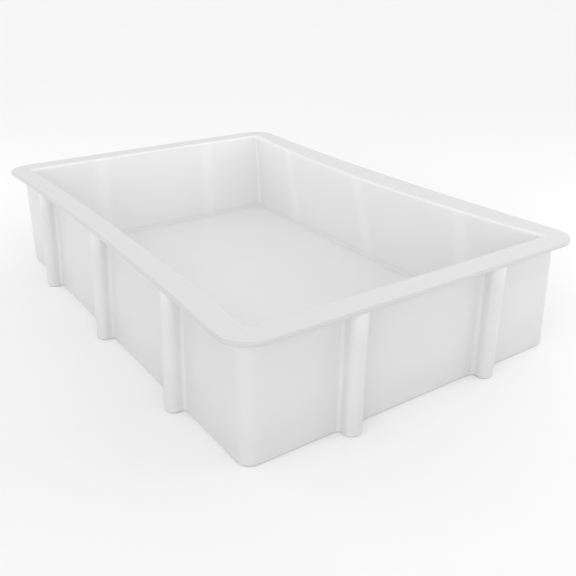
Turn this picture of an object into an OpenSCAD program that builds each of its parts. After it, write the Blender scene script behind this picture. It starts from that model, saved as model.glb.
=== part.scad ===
// Rectangular silicone slab mould for soap: an open tray with upright walls,
// a thin flat rim and upright stiffening ribs round the outside.
// The real tray is moulded in one shot, so every node here is one region of that
// moulding, and neighbouring regions meet face to face with no gap or overlap.
// Millimetres, +Z up, +X along the length. The origin is the middle of the base.

/* [Cavity] */
// Length of the soap cavity
cavity_l = 278; // [240:1:320]
// Width of the soap cavity
cavity_w = 183; // [150:1:220]
// Depth of the cavity, from the floor to the rim's top face
cavity_d = 60; // [40:1:80]
// Radius of the cavity's upright corners
cavity_corner_r = 2; // [1:0.5:4]

/* [Walls and floor] */
// Thickness of the four walls
wall_t = 5; // [4:0.5:8]
// Thickness of the floor
floor_t = 4; // [3:0.5:8]
// Radius of the outer upright corners
outer_corner_r = 7; // [5:0.5:12]

/* [Rim] */
// How far the rim stands out past the walls
rim_overhang = 8.5; // [8:0.5:16]
// Thickness of the rim
rim_t = 2.2; // [1.6:0.2:4]
// Radius of the rim's outer corners
rim_corner_r = 16; // [12:1:26]

/* [Ribs] */
// Width of a rib, which ends in a full round nose
rib_w = 9.2; // [7:0.2:10]
// How far a rib stands out from its wall
rib_d = 8; // [7:0.2:8]
// Radius of the hollow fillet where a rib's flank meets the wall
rib_root_r = 2; // [1.5:0.5:3]
// Distance between neighbouring ribs on one side
rib_pitch = 86; // [80:1:96]

/* [Hidden] */
$fn = 96;

// Milky, slightly translucent white silicone
silicone = [0.93, 0.93, 0.92];

outer_l = cavity_l + 2 * wall_t;
outer_w = cavity_w + 2 * wall_t;
rim_l = outer_l + 2 * rim_overhang;
rim_w = outer_w + 2 * rim_overhang;
total_h = floor_t + cavity_d;
rim_z = total_h - rim_t;
wall_h = rim_z - floor_t;

// Each upright corner is a square block this wide, so that it holds both the
// outer and the inner corner radius, and the walls between are flat slabs.
corner_s = max(outer_corner_r, wall_t + cavity_corner_r);
long_wall_l = outer_l - 2 * corner_s;
short_wall_l = outer_w - 2 * corner_s;

nose_r = rib_w / 2;
// The fillet stops short of its tangent point, which leaves a thin edge and not a cusp.
root_reach = 0.65 * rib_root_r;

// Rectangle centred on the origin with round corners
module rounded_rectangle(length, width, radius) {
    square([length - 2 * radius, width], center = true);
    square([length, width - 2 * radius], center = true);
    for (x = [-1, 1], y = [-1, 1])
        translate([x * (length / 2 - radius), y * (width / 2 - radius)])
            circle(r = radius);
}

module cavity_outline() {
    rounded_rectangle(cavity_l, cavity_w, cavity_corner_r);
}

module outer_outline() {
    rounded_rectangle(outer_l, outer_w, outer_corner_r);
}

// Flat floor that carries the walls
module floor_panel() {
    color(silicone)
        linear_extrude(floor_t)
            outer_outline();
}

// Thin flat flange round the mouth, level with the top of the cavity
module rim_flange() {
    color(silicone)
        translate([0, 0, rim_z])
            linear_extrude(rim_t)
                difference() {
                    rounded_rectangle(rim_l, rim_w, rim_corner_r);
                    cavity_outline();
                }
}

// Flat slab between two corners; side is -1 for the front wall and 1 for the back
module long_wall(side) {
    color(silicone)
        translate([-long_wall_l / 2, side * (outer_w - wall_t) / 2 - wall_t / 2, floor_t])
            cube([long_wall_l, wall_t, wall_h]);
}

// Flat slab between two corners; side is -1 for the left end wall and 1 for the right
module short_wall(side) {
    color(silicone)
        translate([side * (outer_l - wall_t) / 2 - wall_t / 2, -short_wall_l / 2, floor_t])
            cube([wall_t, short_wall_l, wall_h]);
}

// Upright corner, round outside and inside, where two walls join
module corner_post(x_side, y_side) {
    color(silicone)
        translate([0, 0, floor_t])
            linear_extrude(wall_h)
                intersection() {
                    difference() {
                        outer_outline();
                        cavity_outline();
                    }
                    translate([x_side * (outer_l - corner_s) / 2, y_side * (outer_w - corner_s) / 2])
                        square(corner_s, center = true);
                }
}

// Plan of a rib that stands out along +Y from a wall face at Y = 0
module rib_outline() {
    translate([-nose_r, 0])
        square([rib_w, rib_d - nose_r]);
    intersection() {
        translate([0, rib_d - nose_r])
            circle(r = nose_r);
        translate([-nose_r, 0])
            square([rib_w, rib_d]);
    }
    difference() {
        translate([-nose_r - root_reach, 0])
            square([rib_w + 2 * root_reach, rib_root_r]);
        for (x = [-1, 1])
            translate([x * (nose_r + rib_root_r), rib_root_r])
                circle(r = rib_root_r);
    }
}

module rib() {
    color(silicone)
        linear_extrude(rim_z)
            rib_outline();
}

// Rib on a long side; place counts pitches from the middle
module long_side_rib(side, place) {
    translate([place * rib_pitch, side * outer_w / 2, 0])
        rotate(side > 0 ? 0 : 180)
            rib();
}

// Rib on a short side; place counts pitches from the middle
module short_side_rib(side, place) {
    translate([side * outer_l / 2, place * rib_pitch, 0])
        rotate(side > 0 ? -90 : 90)
            rib();
}

floor_panel();
rim_flange();
long_wall(-1);  // front_wall
long_wall(1);  // back_wall
short_wall(-1);  // left_end_wall
short_wall(1);  // right_end_wall
corner_post(-1, -1);  // front_left_corner
corner_post(1, -1);  // front_right_corner
corner_post(-1, 1);  // back_left_corner
corner_post(1, 1);  // back_right_corner
long_side_rib(-1, -1);  // front_left_rib
long_side_rib(-1, 0);  // front_middle_rib
long_side_rib(-1, 1);  // front_right_rib
long_side_rib(1, -1);  // back_left_rib
long_side_rib(1, 0);  // back_middle_rib
long_side_rib(1, 1);  // back_right_rib
short_side_rib(-1, -0.5);  // left_end_front_rib
short_side_rib(-1, 0.5);  // left_end_back_rib
short_side_rib(1, -0.5);  // right_end_front_rib
short_side_rib(1, 0.5);  // right_end_back_rib
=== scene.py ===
"""A white silicone slab mould for soap: an open tray with a thin rim and upright ribs.

The mould is cast in one shot, so its skin is modelled whole and then parted into its
regions: floor, rim, four walls, four corners. The ribs are modelled once and copied.
Every region stands for the frame's node of the same name, and the soft walls then take
the slack that an empty mould has, the long sides bowing inwards at the mouth.

Metres, +Z up, +X along the length. The origin is the middle of the base.
"""

import logging
import math
from collections.abc import Callable, Iterable, Iterator
from dataclasses import dataclass, field
from enum import Enum
from typing import Any

import bmesh
import bpy
from mathutils import Matrix, Vector


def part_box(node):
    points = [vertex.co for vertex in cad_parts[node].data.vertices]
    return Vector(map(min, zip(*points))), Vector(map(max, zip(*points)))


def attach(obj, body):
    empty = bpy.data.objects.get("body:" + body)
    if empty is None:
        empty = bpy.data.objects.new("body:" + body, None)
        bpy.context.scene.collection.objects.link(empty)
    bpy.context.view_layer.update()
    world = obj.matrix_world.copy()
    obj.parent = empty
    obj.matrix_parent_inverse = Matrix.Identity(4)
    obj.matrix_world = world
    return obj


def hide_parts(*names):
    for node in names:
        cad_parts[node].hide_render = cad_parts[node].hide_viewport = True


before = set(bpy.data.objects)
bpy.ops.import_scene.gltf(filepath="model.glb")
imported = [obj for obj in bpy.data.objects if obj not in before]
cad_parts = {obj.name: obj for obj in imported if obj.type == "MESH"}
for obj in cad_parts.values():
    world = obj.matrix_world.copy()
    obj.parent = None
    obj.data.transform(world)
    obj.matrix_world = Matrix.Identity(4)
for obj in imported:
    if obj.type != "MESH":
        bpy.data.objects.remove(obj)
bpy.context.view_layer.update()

LOG = logging.getLogger("slab_mould")

MM = 0.001
TINY = 0.01 * MM
BODY = "root"
LAID_OUT = "laid_out"
FLAT_FACE_WEIGHT = 80
GRID_START = 0.3 * MM  # keeps slices off the mould's middle planes
FINE_STEPS = 3
INNER_STEPS = 4


class Side(Enum):
    """The four sides of the mould, each with the turn that points +Y out of it."""

    FRONT = 180
    BACK = 0
    LEFT_END = 90
    RIGHT_END = -90

    @property
    def outward(self) -> Vector:
        """Give the level direction that points out of this side."""
        return Matrix.Rotation(math.radians(self.value), 3, "Z") @ Vector((0, 1, 0))


class Pick(Enum):
    """What a selection in edit mode is made of."""

    CORNERS = "VERT"
    EDGES = "EDGE"
    FACES = "FACE"


# ---------------------------------------------------------------------------
# The bench: selecting, cutting and finishing meshes with operators
# ---------------------------------------------------------------------------


class Bench:
    """Small jobs that every piece needs, done on the active object."""

    @staticmethod
    def clear() -> None:
        """Leave edit mode and deselect everything."""
        if bpy.context.object and bpy.context.object.mode != "OBJECT":
            bpy.ops.object.mode_set(mode="OBJECT")
        bpy.ops.object.select_all(action="DESELECT")

    @staticmethod
    def take(piece: bpy.types.Object) -> None:
        """Make one piece the only selected object."""
        Bench.clear()
        bpy.context.view_layer.objects.active = piece
        piece.select_set(True)

    @staticmethod
    def edit(piece: bpy.types.Object) -> None:
        """Open one piece in edit mode."""
        Bench.take(piece)
        bpy.ops.object.mode_set(mode="EDIT")

    @staticmethod
    def pick(kind: Pick, test: Callable[[Any], bool]) -> int:
        """Select the parts of the open mesh that pass a test.

        Args:
            kind: Corners, edges or faces.
            test: Says whether one such element is wanted.

        Returns:
            How many elements were selected.
        """
        bpy.ops.mesh.select_mode(type=kind.value)
        bpy.ops.mesh.select_all(action="DESELECT")
        mesh = bpy.context.object.data
        shape = bmesh.from_edit_mesh(mesh)
        elements = {Pick.CORNERS: shape.verts, Pick.EDGES: shape.edges, Pick.FACES: shape.faces}[kind]
        wanted = [element for element in elements if test(element)]
        for element in wanted:
            element.select_set(True)
        shape.select_flush_mode()
        bmesh.update_edit_mesh(mesh)
        return len(wanted)

    @staticmethod
    def round_over(test: Callable[[Any], bool], radius: float, steps: int) -> None:
        """Bevel the open mesh's edges that pass a test.

        Args:
            test: Says whether an edge is rounded over.
            radius: Radius of the round.
            steps: Number of flats that make the round.
        """
        Bench.pick(Pick.EDGES, test)
        bpy.ops.mesh.bevel(offset=radius, segments=steps, affect="EDGES", clamp_overlap=False)

    @staticmethod
    def slice(place: Vector, normal: Vector, discard: bool = False) -> None:
        """Cut the whole open mesh along a plane.

        Args:
            place: A point on the plane.
            normal: The plane's direction.
            discard: Throw away what lies on the normal's side and close the cut.
        """
        bpy.ops.mesh.select_mode(type="FACE")
        bpy.ops.mesh.select_all(action="SELECT")
        bpy.ops.mesh.bisect(plane_co=place, plane_no=normal, use_fill=discard, clear_outer=discard)

    @staticmethod
    def copy(piece: bpy.types.Object, name: str) -> bpy.types.Object:
        """Copy a piece, with a mesh of its own."""
        twin = piece.copy()
        twin.data = piece.data.copy()
        twin.name = twin.data.name = name
        bpy.context.collection.objects.link(twin)
        return twin

    @staticmethod
    def smooth(piece: bpy.types.Object, sharp_angle: float) -> None:
        """Shade a piece smooth up to an angle, with flat faces kept flat.

        Args:
            piece: The piece to shade.
            sharp_angle: Angle past which an edge stays sharp, in degrees.
        """
        Bench.take(piece)
        bpy.ops.object.shade_smooth_by_angle(angle=math.radians(sharp_angle))
        modifier = piece.modifiers.new("flat_faces", "WEIGHTED_NORMAL")
        modifier.keep_sharp = True
        modifier.weight = FLAT_FACE_WEIGHT
        bpy.ops.object.modifier_apply(modifier=modifier.name)


def level_at(height: float) -> Callable[[Any], bool]:
    """Make a test for elements that lie wholly at one height."""
    return lambda element: all(abs(corner.co.z - height) < TINY for corner in element.verts)


# ---------------------------------------------------------------------------
# Sizes
# ---------------------------------------------------------------------------


@dataclass(frozen=True)
class Outline:
    """A rectangle with round corners, centred on the origin, at one height."""

    length: float
    width: float
    radius: float

    def grown(self, margin: float, radius: float) -> "Outline":
        """Give the outline that stands out by a margin, with its own corner radius."""
        return Outline(self.length + 2 * margin, self.width + 2 * margin, radius)

    def ring_at(self, height: float) -> Callable[[Any], bool]:
        """Make a test for the edges that run along this outline at a height."""

        def on_outline(point: Vector) -> bool:
            """Say whether a point lies on the outline."""
            past = Vector((
                abs(point.x) - (self.length / 2 - self.radius),
                abs(point.y) - (self.width / 2 - self.radius),
            ))
            reach = Vector((max(past.x, 0), max(past.y, 0))).length
            return max(past) > -TINY and abs(reach - self.radius) < 5 * TINY

        level = level_at(height)
        return lambda edge: level(edge) and all(on_outline(corner.co) for corner in edge.verts)


@dataclass(frozen=True)
class MouldSizes:
    """The mould's sizes, read from the frame, and the radii that its parts share."""

    wall_corner_r: float = 7 * MM
    rim_corner_r: float = 16 * MM
    cavity_corner_r: float = 2 * MM
    body: Outline = field(init=False)
    rim: Outline = field(init=False)
    cavity: Outline = field(init=False)
    height: float = field(init=False)
    rim_under: float = field(init=False)
    floor_top: float = field(init=False)

    def __post_init__(self) -> None:
        """Read the outlines and heights from the frame's nodes."""
        floor_low, floor_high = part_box("floor_panel")
        rim_low, rim_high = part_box("rim_flange")
        wall_low, wall_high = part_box("back_wall")
        body = Outline(*(floor_high - floor_low).xy, self.wall_corner_r)
        overhang = rim_high.x - floor_high.x
        wall = wall_high.y - wall_low.y
        for name, value in {
            "body": body,
            "rim": body.grown(overhang, self.rim_corner_r),
            "cavity": body.grown(-wall, self.cavity_corner_r),
            "height": rim_high.z,
            "rim_under": rim_low.z,
            "floor_top": floor_high.z,
        }.items():
            object.__setattr__(self, name, value)


# ---------------------------------------------------------------------------
# Slack: how the empty mould's soft walls stand
# ---------------------------------------------------------------------------


@dataclass(frozen=True)
class Slack:
    """How far each wall's top stands from upright, which grows from nothing at the floor."""

    back_lean: float = 4.6 * MM
    back_bow: float = 11.2 * MM
    front_lean: float = -0.2 * MM
    front_bow: float = 3.4 * MM
    left_lean: float = 4.1 * MM
    right_lean: float = -0.9 * MM
    end_belly: float = 0.6 * MM
    rise_power: float = 1.15
    tip_line: float = 2.5 * MM
    long_side_band: float = 8 * MM

    def relax(self, piece: bpy.types.Object, sizes: MouldSizes) -> None:
        """Keep a piece's laid-out places in an attribute, then let its walls go slack.

        Args:
            piece: A piece of the mould whose walls are still upright.
            sizes: The mould's sizes.
        """
        mesh = piece.data
        laid_out = mesh.attributes.new(LAID_OUT, "FLOAT_VECTOR", "POINT")
        for corner, place in zip(mesh.vertices, laid_out.data):
            place.vector = corner.co
            corner.co += self.shift(corner.co, sizes)
        mesh.update()

    def shift(self, place: Vector, sizes: MouldSizes) -> Vector:
        """Work out how far one point of the upright mould moves.

        Args:
            place: The point's place in the upright mould.
            sizes: The mould's sizes.

        Returns:
            The move, in metres.
        """
        half_l, half_w = sizes.body.length / 2, sizes.body.width / 2
        depth = sizes.height - sizes.floor_top
        climb = max(0.0, (place.z - sizes.floor_top) / depth)
        rise = climb**self.rise_power
        slope = self.rise_power * climb ** (self.rise_power - 1) / depth if climb else 0.0
        along, across = place.x / half_l, place.y / half_w

        bow = (self.back_bow if across > 0 else self.front_bow) * max(0.0, 1 - along**2)
        lean_y = self.back_lean if across > 0 else self.front_lean
        lean_x = self.right_lean if along > 0 else self.left_lean
        belly = self.end_belly * max(0.0, 1 - across**2) * min(1.0, abs(along)) ** 4

        inward = -math.copysign(min(1.0, abs(across)), across)
        outward = math.copysign(1.0, along)
        # The rim stays square to the wall that carries it, so it tips up as the wall bows in.
        overhang = max(-self.tip_line, abs(place.y) - (half_w - self.tip_line))
        on_long_side = abs(place.y) > half_w - self.long_side_band
        return Vector((
            (outward * belly - along * lean_x) * rise,
            (inward * bow - across * lean_y) * rise,
            overhang * bow * slope if on_long_side else 0.0,
        ))


# ---------------------------------------------------------------------------
# The tray: one skin, parted into the mould's regions
# ---------------------------------------------------------------------------


@dataclass
class Tray:
    """The open tray with its rim, modelled as one closed skin and then parted."""

    sizes: MouldSizes
    corner_steps: int = 12
    lift: float = 3 * MM
    foot_round: float = 0.8 * MM
    rim_round: float = 0.7 * MM
    under_rim_round: float = 0.8 * MM
    mouth_round: float = 1.5 * MM
    floor_round: float = 1.8 * MM
    foot_height: float = 7 * MM
    collar_drop: float = 2.3 * MM
    corner_block: float = 10 * MM
    grid: tuple[float, float, float] = (6 * MM, 8 * MM, 7.2 * MM)

    def build(self) -> dict[str, bpy.types.Object]:
        """Model the skin and part it.

        Returns:
            The floor, the rim, the four walls and the four corners, by region.
        """
        skin = self.model_skin()
        pieces = {region: self.part(skin, region, cuts) for region, cuts in self.regions().items()}
        bpy.data.objects.remove(skin)
        return pieces

    def add_block(self, outline: Outline, low: float, high: float) -> None:
        """Add a block with round upright edges to the open mesh.

        Args:
            outline: The block's outline.
            low: Height of its underside.
            high: Height of its top.
        """
        bpy.ops.mesh.primitive_cube_add(
            size=1,
            location=(0, 0, (low + high) / 2),
            scale=(outline.length, outline.width, high - low),
        )
        shape = bmesh.from_edit_mesh(bpy.context.object.data)
        new = {corner.index for corner in shape.verts if corner.select}

        def upright(edge: Any) -> bool:
            """Say whether an edge is one of the new block's upright ones."""
            first, second = edge.verts
            tall = abs(first.co.z - second.co.z) > (high - low) / 2
            return tall and first.index in new and second.index in new

        Bench.round_over(upright, outline.radius, self.corner_steps)

    def model_skin(self) -> bpy.types.Object:
        """Model the closed skin of the upright tray.

        Returns:
            The skin, with every edge rounded over.
        """
        sizes, lift = self.sizes, self.lift
        body, rim, cavity = sizes.body, sizes.rim, sizes.cavity
        under, top = sizes.rim_under, sizes.height

        Bench.clear()
        skin = bpy.data.objects.new("skin", bpy.data.meshes.new("skin"))
        bpy.context.collection.objects.link(skin)
        Bench.edit(skin)

        # Outside, rim and cavity are three blocks, joined from outline to outline. Each
        # outline is made a little higher than the last, because a bridge between two
        # outlines in one plane would twist, and is lowered to its height afterwards.
        self.add_block(body, 0, under)
        Bench.pick(Pick.FACES, level_at(under))
        bpy.ops.mesh.delete(type="FACE")

        self.add_block(rim, under + lift, top + lift)
        for height in (under + lift, top + lift):
            Bench.pick(Pick.FACES, level_at(height))
            bpy.ops.mesh.delete(type="FACE")
        self.bridge(under, under + lift)

        self.add_block(cavity, sizes.floor_top, top + 2 * lift)
        Bench.pick(Pick.FACES, level_at(top + 2 * lift))
        bpy.ops.mesh.delete(type="FACE")
        self.bridge(top + lift, top + 2 * lift)

        for height, drop in ((top + 2 * lift, 2 * lift), (top + lift, lift), (under + lift, lift)):
            Bench.pick(Pick.CORNERS, lambda corner: abs(corner.co.z - height) < TINY)
            bpy.ops.transform.translate(value=(0, 0, -drop))
        bpy.ops.mesh.select_all(action="SELECT")
        bpy.ops.mesh.normals_make_consistent(inside=False)

        for outline, height, radius, steps in (
            (body, 0, self.foot_round, FINE_STEPS),
            (body, under, self.under_rim_round, FINE_STEPS),
            (rim, under, self.rim_round, FINE_STEPS),
            (rim, top, self.rim_round, FINE_STEPS),
            (cavity, top, self.mouth_round, INNER_STEPS),
            (cavity, sizes.floor_top, self.floor_round, INNER_STEPS),
        ):
            Bench.round_over(outline.ring_at(height), radius, steps)
        Bench.clear()
        return skin

    @staticmethod
    def bridge(lower: float, upper: float) -> None:
        """Join the outlines at two heights with a band of faces."""
        on_lower, on_upper = level_at(lower), level_at(upper)
        Bench.pick(Pick.EDGES, lambda edge: on_lower(edge) or on_upper(edge))
        bpy.ops.mesh.bridge_edge_loops()

    def regions(self) -> dict[str, list[tuple[Vector, Vector]]]:
        """List the cuts that free each region from the skin.

        Returns:
            For each region, the planes to cut along, each with the direction to discard.
        """
        foot, collar = self.foot_height, self.sizes.rim_under - self.collar_drop
        along = self.sizes.body.length / 2 - self.corner_block
        across = self.sizes.body.width / 2 - self.corner_block
        up, right, back = Vector((0, 0, 1)), Vector((1, 0, 0)), Vector((0, 1, 0))

        def below(height: float) -> tuple[Vector, Vector]:
            """Keep what is below a height."""
            return up * height, up

        def above(height: float) -> tuple[Vector, Vector]:
            """Keep what is above a height."""
            return up * height, -up

        def within(axis: Vector, reach: float) -> list[tuple[Vector, Vector]]:
            """Keep what is within a reach of the middle, both ways."""
            return [(axis * reach, axis), (axis * -reach, -axis)]

        def beyond(axis: Vector, reach: float) -> tuple[Vector, Vector]:
            """Keep what is past a reach, in the axis's direction."""
            return axis * reach, -axis

        wall_height = [above(foot), below(collar)]
        regions = {
            "floor_panel": [below(foot)],
            "rim_flange": [above(collar)],
            "front_wall": [*wall_height, *within(right, along), beyond(-back, 0)],
            "back_wall": [*wall_height, *within(right, along), beyond(back, 0)],
            "left_end_wall": [*wall_height, *within(back, across), beyond(-right, 0)],
            "right_end_wall": [*wall_height, *within(back, across), beyond(right, 0)],
        }
        for depth_name, depth in (("front", -back), ("back", back)):
            for end_name, end in (("left", -right), ("right", right)):
                cuts = [*wall_height, beyond(end, along), beyond(depth, across)]
                regions[f"{depth_name}_{end_name}_corner"] = cuts
        return regions

    @staticmethod
    def part(
        skin: bpy.types.Object, region: str, cuts: Iterable[tuple[Vector, Vector]]
    ) -> bpy.types.Object:
        """Cut one region out of a copy of the skin.

        Args:
            skin: The whole tray.
            region: The region's name.
            cuts: The planes to cut along, each with the direction to discard.

        Returns:
            The region as a closed piece.
        """
        piece = Bench.copy(skin, f"{region}_skin")
        Bench.edit(piece)
        for place, outward in cuts:
            Bench.slice(place, outward, discard=True)
        Bench.clear()
        return piece


def cut_grid(piece: bpy.types.Object, sizes: MouldSizes, grid: tuple[float, float, float]) -> None:
    """Slice a piece into cells small enough to bend smoothly.

    Args:
        piece: The piece to slice.
        sizes: The mould's sizes.
        grid: Spacing of the slices along X, Y and Z.
    """
    low = Vector(map(min, zip(*(corner.co for corner in piece.data.vertices))))
    high = Vector(map(max, zip(*(corner.co for corner in piece.data.vertices))))
    starts = (GRID_START, GRID_START, sizes.floor_top)
    Bench.edit(piece)
    for axis, (step, start) in enumerate(zip(grid, starts)):
        normal = Vector([float(axis == other) for other in range(3)])
        first = math.ceil((low[axis] - start) / step)
        last = math.floor((high[axis] - start) / step)
        for count in range(first, last + 1):
            Bench.slice(normal * (start + count * step), normal)
    Bench.clear()


# ---------------------------------------------------------------------------
# The ribs
# ---------------------------------------------------------------------------


@dataclass
class Ribs:
    """Upright stiffening ribs with full round noses and hollow roots."""

    sizes: MouldSizes
    width: float = 9.2 * MM
    root_radius: float = 2 * MM
    foot_round: float = 0.8 * MM
    sink: float = 1.5 * MM
    into_rim: float = 0.8 * MM
    skin_gap: float = 0.05 * MM
    root_margin: float = 0.4 * MM
    nose_steps: int = 8
    root_steps: int = 6

    def build(self) -> dict[str, bpy.types.Object]:
        """Model one rib and set a copy at the place of each rib in the frame.

        Returns:
            The ten ribs, by name.
        """
        pattern = self.model_rib()
        ribs = {}
        for name, side in self.places().items():
            low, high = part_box(name)
            middle = (low + high) / 2
            outward = side.outward
            wall = self.sizes.body.width / 2 if outward.x**2 < 0.5 else self.sizes.body.length / 2
            foot = middle - outward * middle.dot(outward) + outward * wall
            rib = Bench.copy(pattern, f"{name}_skin")
            turn = Matrix.Rotation(math.radians(side.value), 4, "Z")
            rib.data.transform(Matrix.Translation((foot.x, foot.y, 0)) @ turn)
            ribs[name] = rib
        bpy.data.objects.remove(pattern)
        return ribs

    @staticmethod
    def places() -> dict[str, Side]:
        """List the ribs and the side that each stands on."""
        long_sides = {
            f"{side.name.lower()}_{place}_rib": side
            for side in (Side.FRONT, Side.BACK)
            for place in ("left", "middle", "right")
        }
        ends = {
            f"{side.name.lower()}_{place}_rib": side
            for side in (Side.LEFT_END, Side.RIGHT_END)
            for place in ("front", "back")
        }
        return long_sides | ends

    def model_rib(self) -> bpy.types.Object:
        """Model a rib that stands out along +Y from a wall face at Y = 0.

        Returns:
            The rib, with its back sunk into the wall and its top into the rim.
        """
        low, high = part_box("back_middle_rib")
        depth = high.y - self.sizes.body.width / 2
        top = self.sizes.rim_under + self.into_rim
        half = self.width / 2 + self.root_radius + self.root_margin
        face = -self.skin_gap

        Bench.clear()
        bpy.ops.mesh.primitive_cube_add(
            size=1,
            location=(0, (face - self.sink) / 2, top / 2),
            scale=(2 * half, self.sink + face, top),
        )
        rib = bpy.context.object
        bpy.ops.object.transform_apply(location=True, rotation=True, scale=True)
        Bench.edit(rib)
        for flank in (-self.width / 2, self.width / 2):
            Bench.slice(Vector((flank, 0, 0)), Vector((1, 0, 0)))
        Bench.pick(
            Pick.FACES,
            lambda patch: patch.normal.y > 0.9 and abs(patch.calc_center_median().x) < 10 * TINY,
        )
        bpy.ops.mesh.extrude_region_move(TRANSFORM_OT_translate={"value": (0, depth - face, 0)})

        def upright(edge: Any) -> bool:
            """Say whether an edge runs up the rib."""
            return abs(edge.verts[0].co.z - edge.verts[1].co.z) > top / 2

        def at_root(point: Vector) -> bool:
            """Say whether a point is where a flank meets the wall."""
            return abs(point.y - face) < TINY and abs(abs(point.x) - self.width / 2) < TINY

        Bench.round_over(
            lambda edge: upright(edge) and all(at_root(corner.co) for corner in edge.verts),
            self.root_radius,
            self.root_steps,
        )
        Bench.round_over(
            lambda edge: upright(edge) and all(abs(corner.co.y - depth) < TINY for corner in edge.verts),
            self.width / 2 - 2 * TINY,
            self.nose_steps,
        )
        Bench.round_over(
            lambda edge: all(abs(c.co.z) < TINY and c.co.y > face + TINY for c in edge.verts),
            self.foot_round,
            FINE_STEPS,
        )
        Bench.clear()
        return rib


# ---------------------------------------------------------------------------
# Shader nodes
# ---------------------------------------------------------------------------


class Signal:
    """A number that varies over a surface, on which arithmetic adds Math nodes."""

    def __init__(self, recipe: "Recipe", socket: bpy.types.NodeSocket) -> None:
        """Wrap an output socket of a recipe's node."""
        self.recipe = recipe
        self.socket = socket

    def _math(self, operation: str, *values: Any) -> "Signal":
        """Add a Math node for one operation."""
        node = self.recipe.node("ShaderNodeMath", {"operation": operation}, *values)
        return Signal(self.recipe, node.outputs[0])

    def __add__(self, other: Any) -> "Signal":
        """Add."""
        return self._math("ADD", self, other)

    __radd__ = __add__

    def __sub__(self, other: Any) -> "Signal":
        """Subtract."""
        return self._math("SUBTRACT", self, other)

    def __rsub__(self, other: Any) -> "Signal":
        """Subtract this from a number."""
        return self._math("SUBTRACT", other, self)

    def __mul__(self, other: Any) -> "Signal":
        """Multiply."""
        return self._math("MULTIPLY", self, other)

    __rmul__ = __mul__

    def __abs__(self) -> "Signal":
        """Take the size without the sign."""
        return self._math("ABSOLUTE", self)

    def root(self) -> "Signal":
        """Take the square root."""
        return self._math("SQRT", self)

    def highest(self, other: Any) -> "Signal":
        """Take the higher of this and another value."""
        return self._math("MAXIMUM", self, other)

    def step(self, start: float, end: float) -> "Signal":
        """Rise smoothly from 0 at start to 1 at end, or fall where end is lower.

        Args:
            start: Value at which the result is 0.
            end: Value at which the result is 1.

        Returns:
            The eased step.
        """
        node = self.recipe.node(
            "ShaderNodeMapRange",
            {"interpolation_type": "SMOOTHSTEP"},
            Value=self,
            **{"From Min": start, "From Max": end},
        )
        return Signal(self.recipe, node.outputs["Result"])


class Recipe:
    """The nodes of a material or of the studio's surround, added one at a time."""

    def __init__(self, tree: bpy.types.NodeTree) -> None:
        """Work on one node tree."""
        self.tree = tree

    @property
    def shader(self) -> bpy.types.Node:
        """Give the material's Principled shader."""
        return self.tree.nodes["Principled BSDF"]

    def node(
        self, kind: str, settings: dict[str, Any] | None = None, *places: Any, **sockets: Any
    ) -> bpy.types.Node:
        """Add a node, set it up and feed its inputs.

        Args:
            kind: The node's type.
            settings: The node's own settings, set first.
            *places: Values or signals for its inputs, in their order.
            **sockets: Values or signals for its inputs, by name.

        Returns:
            The new node.
        """
        node = self.tree.nodes.new(kind)
        for name, value in (settings or {}).items():
            setattr(node, name, value)
        for key, value in [*enumerate(places), *sockets.items()]:
            self.feed(node.inputs[key], value)
        return node

    def feed(self, socket: bpy.types.NodeSocket, value: Any) -> None:
        """Link a signal to an input, or set a plain value on it."""
        if isinstance(value, Signal):
            self.tree.links.new(value.socket, socket)
        else:
            socket.default_value = value

    def blend(self, amount: Signal, first: Any, second: Any) -> Signal:
        """Mix two colours.

        Args:
            amount: Share of the second colour.
            first: The colour at 0.
            second: The colour at 1.

        Returns:
            The mixed colour.
        """
        node = self.node("ShaderNodeMix", {"data_type": "RGBA"})
        # A Mix node keeps its colour sockets after those for numbers and vectors.
        for place, value in ((0, amount), (6, first), (7, second)):
            self.feed(node.inputs[place], value)
        return Signal(self, node.outputs[2])

    def cloud(self, place: Signal, scale: float, detail: float) -> Signal:
        """Give a soft random pattern from 0 to 1.

        Args:
            place: The point to look up.
            scale: Number of patches to the metre.
            detail: How many finer layers are added.

        Returns:
            The pattern.
        """
        node = self.node("ShaderNodeTexNoise", None, Vector=place, Scale=scale, Detail=detail)
        return Signal(self, node.outputs[0])


def new_finish(name: str) -> bpy.types.Material:
    """Start a material that has one Principled shader."""
    material = bpy.data.materials.new(name)
    material.use_nodes = True
    return material


def grey(level: float) -> tuple[float, float, float, float]:
    """Give a neutral colour of one level."""
    return (level, level, level, 1.0)


# ---------------------------------------------------------------------------
# Finishes
# ---------------------------------------------------------------------------


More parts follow.
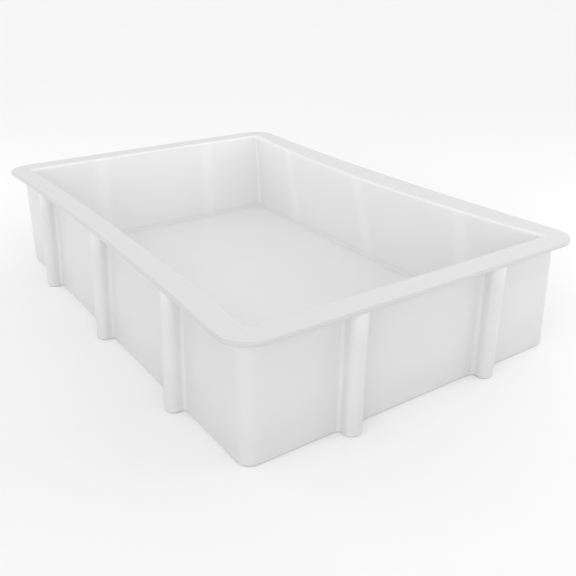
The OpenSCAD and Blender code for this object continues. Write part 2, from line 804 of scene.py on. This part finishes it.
@dataclass(frozen=True)
class MilkySilicone:
    """Satin white silicone, opaque, whose tones hold painted light and shade.

    It is whiter where more of it stands behind the surface, in place of the light that real silicone
    lets through. Its region tones are lit and shaded copies of one silicone: the inside and the floor
    are painted lighter, the outside and the rim darker. Painted light lifts the shade under the rim and
    in the rib roots. Painted shade darkens the outer walls' foot, the floor fillet and the rim's lip,
    and a painted highlight runs along the mouth edge. The tones are the same on opposite sides of the
    mould, and the studio's lamps give the rest of the light and shade.
    """

    sizes: MouldSizes
    # Region tones, partly painted light and shade: the inside and floor are painted lighter and the
    # outside and rim darker, as lit and shaded copies of one silicone.
    outside: float = 0.62
    inside: float = 0.82
    floor: float = 0.805
    rim: float = 0.69
    # Partly painted light: inner walls lighter level with each rib, where thicker silicone behind them
    # lets less light through.
    backed_painted_light: float = 0.03
    # Painted light: lifts the shade in the creases where the ribs meet the outer walls.
    root_gain: float = 0.045
    # Painted light: lifts the shade on the outer walls under the rim.
    under_rim_gain: float = 0.06
    # Painted shade: the outer walls darken towards the foot.
    foot_painted_shade: float = 0.03
    # Painted shade: darker in the round where the inner walls meet the floor.
    fillet_painted_shade: float = 0.06
    # Painted shade: the rim's outer lip is darker, taking down its highlight.
    lip_painted_shade: float = 0.14
    cloudiness: float = 0.025
    roughness: float = 0.36
    smudging: float = 0.08
    refraction: float = 1.41
    grain_strength: float = 0.05
    grain_depth: float = 0.3 * MM
    cloud_scale: float = 26
    smudge_scale: float = 60
    grain_scale: float = 900
    rib_half: float = 4.6 * MM
    rib_fade: float = 3.5 * MM
    root_middle: float = 3 * MM
    root_reach: float = 6 * MM
    shade_reach: float = 14 * MM
    outside_fade: tuple[float, float] = (1 * MM, 3 * MM)
    # Painted highlight: the inside's lighter tone reaches over the mouth round.
    mouth_highlight_fade: tuple[float, float] = (0.0, 1.6 * MM)
    rim_fade: tuple[float, float] = (-0.8 * MM, 0.4 * MM)
    lip_fade: tuple[float, float] = (-1.2 * MM, 0.0)
    floor_fade: tuple[float, float] = (2 * MM, 0.0)
    fillet_rise: tuple[float, float] = (4 * MM, 1 * MM)
    fillet_side: tuple[float, float] = (-4 * MM, -1 * MM)
    band_fade: tuple[float, float] = (-3 * MM, -1 * MM)

    def make(self) -> bpy.types.Material:
        """Make the silicone.

        Returns:
            The finished material.
        """
        material = new_finish("milky_silicone")
        recipe = Recipe(material.node_tree)
        laid_out = recipe.node("ShaderNodeAttribute", {"attribute_name": LAID_OUT})
        place = Signal(recipe, laid_out.outputs["Vector"])
        axes = recipe.node("ShaderNodeSeparateXYZ", None, place)
        x, y, z = (Signal(recipe, output) for output in axes.outputs)

        tone = self.tone_with_painted_light(x, y, z)
        tone = tone + self.cloudiness * (recipe.cloud(place, self.cloud_scale, 3) - 0.5)
        colour = recipe.blend(tone, grey(0.0), grey(1.0))
        recipe.feed(recipe.shader.inputs["Base Color"], colour)

        recipe.feed(recipe.shader.inputs["IOR"], self.refraction)
        smudge = recipe.cloud(place, self.smudge_scale, 4)
        roughness = self.roughness + self.smudging * (smudge - 0.5)
        recipe.feed(recipe.shader.inputs["Roughness"], roughness)
        bump = recipe.node(
            "ShaderNodeBump",
            None,
            Strength=self.grain_strength,
            Distance=self.grain_depth,
            Height=recipe.cloud(place, self.grain_scale, 2),
        )
        recipe.feed(recipe.shader.inputs["Normal"], Signal(recipe, bump.outputs[0]))
        return material

    def tone_with_painted_light(self, x: Signal, y: Signal, z: Signal) -> Signal:
        """Work out each place's tone, with its painted light and shade.

        Args:
            x: Place along the mould, before its slack.
            y: Place across the mould, before its slack.
            z: Height, before its slack.

        Returns:
            The tone, from 0 to 1.
        """
        sizes = self.sizes
        cavity = sizes.cavity
        over_floor, over_rim = z - sizes.floor_top, z - sizes.rim_under
        past = (abs(x) - cavity.length / 2).highest(abs(y) - cavity.width / 2)
        out_of_cavity = past.step(*self.outside_fade)
        # Painted highlight: the lighter inside tone runs over the mouth round as a bright line before
        # the rim's tone takes over.
        on_rim = over_rim.step(*self.rim_fade) * past.step(*self.mouth_highlight_fade)

        # Partly painted light: the inner walls are lighter level with each rib that backs them.
        inner = self.inside + self.backed_painted_light * self.rib_bands(x, y)
        inner = inner + (self.floor - inner) * over_floor.step(*self.floor_fade)
        # Painted shade in the floor fillet.
        fillet_shade_mask = over_floor.step(*self.fillet_rise) * past.step(*self.fillet_side)
        inner = inner - self.fillet_painted_shade * fillet_shade_mask

        # Painted light: the rib roots are made lighter to lift the shade in their creases.
        outer = self.outside + self.root_gain * self.rib_roots(x, y)
        # Painted light: the outer walls get lighter towards the rim's underside, lifting its shadow.
        outer = outer + self.under_rim_gain * over_rim.step(-self.shade_reach, 0.0)
        # Painted shade: the outer walls get darker towards the floor.
        outer = outer - self.foot_painted_shade * z.step(sizes.rim_under / 2, 0.0)

        # Painted shade: the rim's outer lip is darkened.
        lip_shade_mask = self.past_outline(x, y, sizes.rim).step(*self.lip_fade)
        top = self.rim - self.lip_painted_shade * lip_shade_mask
        walls = inner + (outer - inner) * out_of_cavity
        return walls + (top - walls) * on_rim

    @staticmethod
    def past_outline(x: Signal, y: Signal, outline: Outline) -> Signal:
        """Measure how far each place lies outside an outline.

        Args:
            x: Place along the mould, before its slack.
            y: Place across the mould, before its slack.
            outline: The outline, with round corners.

        Returns:
            The distance, below 0 within the outline.
        """
        past_x = (abs(x) - (outline.length / 2 - outline.radius)).highest(0.0)
        past_y = (abs(y) - (outline.width / 2 - outline.radius)).highest(0.0)
        return (past_x * past_x + past_y * past_y).root() - outline.radius

    def rib_lines(self, x: Signal, y: Signal) -> Iterator[tuple[Signal, Signal]]:
        """Measure from each rib of the back and the right end, and the one opposite it.

        Args:
            x: Place along the mould, before its slack.
            y: Place across the mould, before its slack.

        Yields:
            How far each place is from the rib's middle along its wall, and how far it stands
            out of the wall's outer face.
        """
        body = self.sizes.body
        for name, side in Ribs.places().items():
            middle = sum(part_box(name), Vector()) / 2
            if side is Side.BACK:
                yield abs(x - middle.x), abs(y) - body.width / 2
            elif side is Side.RIGHT_END:
                yield abs(y - middle.y), abs(x) - body.length / 2

    def rib_bands(self, x: Signal, y: Signal) -> Signal:
        """Mark the walls level with the ribs that back them.

        Args:
            x: Place along the mould, before its slack.
            y: Place across the mould, before its slack.

        Returns:
            1 level with each rib and 0 elsewhere.
        """
        wall = (self.sizes.body.width - self.sizes.cavity.width) / 2
        bands = 0.0
        for along, out in self.rib_lines(x, y):
            near = along.step(self.rib_half + self.rib_fade, self.rib_half - self.rib_fade)
            bands = near * (out + wall).step(*self.band_fade) + bands
        return bands

    def rib_roots(self, x: Signal, y: Signal) -> Signal:
        """Mark the corners where a rib's flanks meet the wall, which are thick, and where painted light
        lifts the shade of the crease.

        Args:
            x: Place along the mould, before its slack.
            y: Place across the mould, before its slack.

        Returns:
            1 at each root, fading to 0 away from it.
        """
        roots = 0.0
        for along, out in self.rib_lines(x, y):
            reach = abs(along - self.rib_half).highest(abs(out - self.root_middle))
            roots = reach.step(self.root_reach, 0.0) + roots
        return roots


@dataclass(frozen=True)
class PaleFloor:
    """A plain pale surface for the mould to stand on."""

    tone: float = 0.9
    tone_swing: float = 0.01
    cloud_scale: float = 3
    radius: float = 6.0
    corners: int = 96
    gap: float = 0.1 * MM

    def lay(self) -> bpy.types.Object:
        """Lay the floor just under the mould.

        Returns:
            The floor, marked as part of the stage.
        """
        Bench.clear()
        bpy.ops.mesh.primitive_circle_add(
            vertices=self.corners, radius=self.radius, fill_type="NGON", location=(0, 0, -self.gap)
        )
        floor = bpy.context.object
        floor.name = "floor"
        material = new_finish("pale_floor")
        recipe = Recipe(material.node_tree)
        coordinates = recipe.node("ShaderNodeTexCoord")
        place = Signal(recipe, coordinates.outputs["Object"])
        darker, lighter = grey(self.tone - self.tone_swing), grey(self.tone + self.tone_swing)
        tone = recipe.blend(recipe.cloud(place, self.cloud_scale, 2), darker, lighter)
        recipe.feed(recipe.shader.inputs["Base Color"], tone)
        recipe.feed(recipe.shader.inputs["Roughness"], 1.0)
        recipe.feed(recipe.shader.inputs["Specular IOR Level"], 0.0)
        floor.data.materials.append(material)
        return floor


# ---------------------------------------------------------------------------
# The studio
# ---------------------------------------------------------------------------


@dataclass(frozen=True)
class SoftBox:
    """A square soft light, aimed at the mould."""

    name: str
    azimuth: float
    elevation: float
    distance: float
    size: float
    power: float
    aim: tuple[float, float, float] = (0.0, 0.0, 0.03)

    def hang(self) -> bpy.types.Object:
        """Hang the light.

        Returns:
            The light's object.
        """
        lamp = bpy.data.lights.new(self.name, "AREA")
        lamp.energy = self.power
        lamp.size = self.size
        stand = bpy.data.objects.new(self.name, lamp)
        bpy.context.collection.objects.link(stand)
        azimuth, elevation = math.radians(self.azimuth), math.radians(self.elevation)
        way = Vector((
            math.cos(azimuth) * math.cos(elevation),
            math.sin(azimuth) * math.cos(elevation),
            math.sin(elevation),
        ))
        stand.location = Vector(self.aim) + way * self.distance
        stand.rotation_euler = way.to_track_quat("Z", "Y").to_euler()
        return stand


@dataclass(frozen=True)
class Glow:
    """A broad patch of light on the studio's walls, brightest in one direction."""

    way: tuple[float, float, float]
    strength: float

    def cast(self, recipe: Recipe, looking: Signal) -> Signal:
        """Give this patch's brightness in the direction that is looked in.

        Args:
            recipe: The surround's nodes.
            looking: The direction that is looked in.

        Returns:
            The brightness.
        """
        aim = Vector(self.way).normalized()
        node = recipe.node("ShaderNodeVectorMath", {"operation": "DOT_PRODUCT"}, looking, aim)
        facing = Signal(recipe, node.outputs["Value"]).highest(0.0)
        return self.strength * facing * facing


@dataclass(frozen=True)
class Studio:
    """Soft lights, a surround of broad glows and the camera."""

    glows: tuple[Glow, ...] = (
        Glow((0.82, -0.57, 0.15), 1.60),
        Glow((0.0, -1.0, 0.15), 0.85),
        Glow((0.0, 1.0, 0.15), 1.20),
        Glow((1.0, 0.0, 0.15), 0.25),
        Glow((-1.0, 0.0, 0.15), 0.80),
        Glow((0.0, 0.0, 1.0), 0.50),
    )
    boxes: tuple[SoftBox, ...] = (
        SoftBox("right_box", 50, 18, 0.55, 0.35, 0.40),
        SoftBox("left_box", -135, 18, 0.55, 0.35, 0.26),
    )
    camera_azimuth: float = 55.49
    camera_elevation: float = 24.68
    camera_place: tuple[float, float, float] = (350.8 * MM, -217.3 * MM, 193.1 * MM)
    lens: float = 45.06
    film: float = 36.0

    def set_up(self) -> None:
        """Light the room and set the camera."""
        scene = bpy.context.scene
        scene.world = bpy.data.worlds.new("studio")
        scene.world.use_nodes = True
        self.light_surround(Recipe(scene.world.node_tree))
        scene.view_settings.view_transform = "Standard"
        for box in self.boxes:
            box.hang()
        self.place_camera()

    def light_surround(self, recipe: Recipe) -> None:
        """Add up the glows on the surround."""
        coordinates = recipe.node("ShaderNodeTexCoord")
        looking = Signal(recipe, coordinates.outputs["Generated"])
        brightness = 0.0
        for glow in self.glows:
            brightness = glow.cast(recipe, looking) + brightness
        background = recipe.tree.nodes["Background"]
        recipe.feed(background.inputs["Color"], grey(1.0))
        recipe.feed(background.inputs["Strength"], brightness)

    def place_camera(self) -> None:
        """Stand the camera at its place and point it along its line of sight."""
        azimuth, elevation = math.radians(self.camera_azimuth), math.radians(self.camera_elevation)
        back = Vector((
            math.sin(azimuth) * math.cos(elevation),
            -math.cos(azimuth) * math.cos(elevation),
            math.sin(elevation),
        ))
        optics = bpy.data.cameras.new("camera")
        optics.lens = self.lens
        optics.sensor_width = self.film
        optics.clip_start = 10 * MM
        camera = bpy.data.objects.new("camera", optics)
        bpy.context.collection.objects.link(camera)
        camera.location = self.camera_place
        camera.rotation_euler = back.to_track_quat("Z", "Y").to_euler()
        bpy.context.scene.camera = camera


# ---------------------------------------------------------------------------
# The mould
# ---------------------------------------------------------------------------


@dataclass
class SlabMould:
    """The whole mould: the parted tray and its ribs, slack and dressed in silicone."""

    sizes: MouldSizes = field(default_factory=MouldSizes)
    slack: Slack = field(default_factory=Slack)
    sharp_angle: float = 35.0

    def build(self) -> list[bpy.types.Object]:
        """Build every piece and tie it to the frame.

        Returns:
            The finished pieces.
        """
        tray = Tray(self.sizes)
        silicone = MilkySilicone(self.sizes).make()
        pieces = tray.build() | Ribs(self.sizes).build()
        for node, piece in pieces.items():
            cut_grid(piece, self.sizes, tray.grid)
            self.slack.relax(piece, self.sizes)
            Bench.smooth(piece, self.sharp_angle)
            piece.data.materials.clear()
            piece.data.materials.append(silicone)
            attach(piece, BODY)
            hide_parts(node)
        return list(pieces.values())


def main() -> None:
    """Build the mould, lay the floor and light the studio."""
    logging.basicConfig(level=logging.INFO, format="%(name)s: %(message)s")
    Studio().set_up()
    PaleFloor().lay()
    for piece in SlabMould().build():
        LOG.info("%s: %d faces", piece.name, len(piece.data.polygons))


if __name__ == "__main__":
    main()
